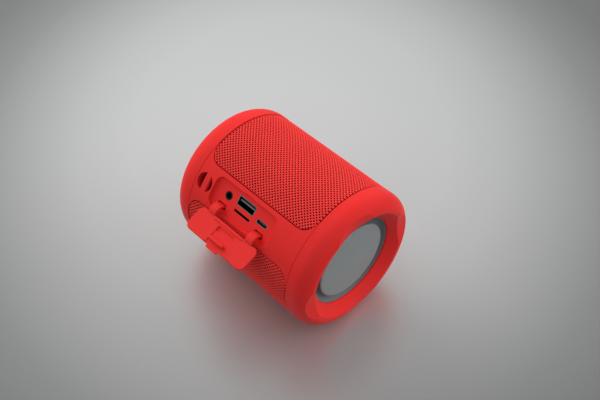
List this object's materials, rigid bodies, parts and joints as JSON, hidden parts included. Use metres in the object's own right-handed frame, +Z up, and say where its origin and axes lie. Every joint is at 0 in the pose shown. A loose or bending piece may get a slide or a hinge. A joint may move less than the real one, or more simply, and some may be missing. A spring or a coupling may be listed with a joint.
{
  "type": "party speaker",
  "caption": "Barrel-shaped portable speaker on its side: woven grille, port strip with sockets under a strapped flap, press keys at one end, passive radiator at the other.",
  "frame": {"origin": "on the floor, midway along the line on which the barrel lies", "axes": "+X along the barrel from the key end to the radiator end, +Z up, port strip facing -Y and up"},
  "size_m": [0.1102, 0.1013, 0.087],
  "materials": {
    "red_shell": "soft-touch satin",
    "red_mesh": "woven, matt",
    "red_silicone": "matt silicone",
    "black_moulding": "matt",
    "black_foam": "matt foam",
    "grey_rubber": "satin",
    "grey_metal": "fine blasted, satin",
    "steel": "zinc plated",
    "ferrite": "matt sintered",
    "copper": "enamelled winding",
    "cone_paper": "matt paper",
    "spider_cloth": "resin-dipped cloth",
    "cell_wrap": "shrink wrapped can",
    "circuit_board": "solder mask",
    "chip": "moulded epoxy",
    "socket_shell": "tin plated",
    "socket_plastic": "moulded",
    "contact_gold": "gold plated",
    "clear_lens": "clear moulded",
    "key_rubber": "matt",
    "key_plate_plastic": "fine texture"
  },
  "bodies": {
    "speaker": {"top_cap": "red_shell", "base_cap": "red_shell", "spine_cover": "red_shell", "grille_mesh": "red_mesh", "flap_straps": "red_silicone", "grille_cage": "black_moulding", "inner_housing": "black_moulding", "lanyard_cup": "black_moulding", "radiator_frame": "black_moulding", "battery_holders": "black_moulding", "board_standoffs": "black_moulding", "card_socket": "black_moulding", "housing_seal": "black_foam", "radiator_surround": "grey_rubber", "driver_surround": "grey_rubber", "base_screws": "steel", "driver_basket": "steel", "driver_screws": "steel", "driver_top_plate": "steel", "driver_yoke": "steel", "board_screws": "steel", "driver_magnet": "ferrite", "driver_spider": "spider_cloth", "battery_cell": "cell_wrap", "main_board": "circuit_board", "button_board": "circuit_board", "port_board": "circuit_board", "battery_board": "circuit_board", "board_chips": "chip", "dome_switches": "chip", "microphone": "chip", "usb_a_shell": "socket_shell", "micro_usb_shell": "socket_shell", "usb_a_tongue": "socket_plastic", "micro_usb_tongue": "socket_plastic", "audio_jack": "socket_plastic", "usb_a_contacts": "contact_gold", "status_lens": "clear_lens", "key_plate": "key_plate_plastic"},
    "flap": {"port_flap": "red_silicone"},
    "radiator": {"radiator_disc": "grey_metal", "radiator_weight": "steel"},
    "cone": {"driver_cone": "cone_paper", "driver_dust_cap": "cone_paper", "driver_voice_coil": "copper"},
    "key_play": {"button_play": "key_rubber"},
    "key_volume_up": {"button_volume_up": "key_rubber"},
    "key_volume_down": {"button_volume_down": "key_rubber"},
    "key_power": {"button_power": "key_rubber"},
    "key_pairing": {"button_pairing": "key_rubber"}
  },
  "joints": [
    {"name": "flap_hinge", "type": "hinge", "parent": "speaker", "child": "flap", "pos_m": [-0.0021, -0.04057, 0.06209], "axis": [1, 0, 0], "range_deg": [-149.4, 6], "deforming": ["flap_straps"]},
    {"name": "radiator_slide", "type": "slide", "parent": "speaker", "child": "radiator", "axis": [1, 0, 0], "range_m": [-0.0015, 0.0015], "stiffness_N_per_m": 800, "deforming": ["radiator_surround"]},
    {"name": "driver_slide", "type": "slide", "parent": "speaker", "child": "cone", "axis": [0, 0.7934, -0.6088], "range_m": [-0.0012, 0.0012], "stiffness_N_per_m": 300, "deforming": ["driver_surround", "driver_spider"]},
    {"name": "play_press", "type": "slide", "parent": "speaker", "child": "key_play", "axis": [1, 0, 0], "range_m": [0, 0.0005], "stiffness_N_per_m": 400, "springref_m": -0.0005},
    {"name": "volume_up_press", "type": "slide", "parent": "speaker", "child": "key_volume_up", "axis": [1, 0, 0], "range_m": [0, 0.0005], "stiffness_N_per_m": 400, "springref_m": -0.0005},
    {"name": "volume_down_press", "type": "slide", "parent": "speaker", "child": "key_volume_down", "axis": [1, 0, 0], "range_m": [0, 0.0005], "stiffness_N_per_m": 400, "springref_m": -0.0005},
    {"name": "power_press", "type": "slide", "parent": "speaker", "child": "key_power", "axis": [1, 0, 0], "range_m": [0, 0.0005], "stiffness_N_per_m": 400, "springref_m": -0.0005},
    {"name": "pairing_press", "type": "slide", "parent": "speaker", "child": "key_pairing", "axis": [1, 0, 0], "range_m": [0, 0.0005], "stiffness_N_per_m": 400, "springref_m": -0.0005}
  ]
}
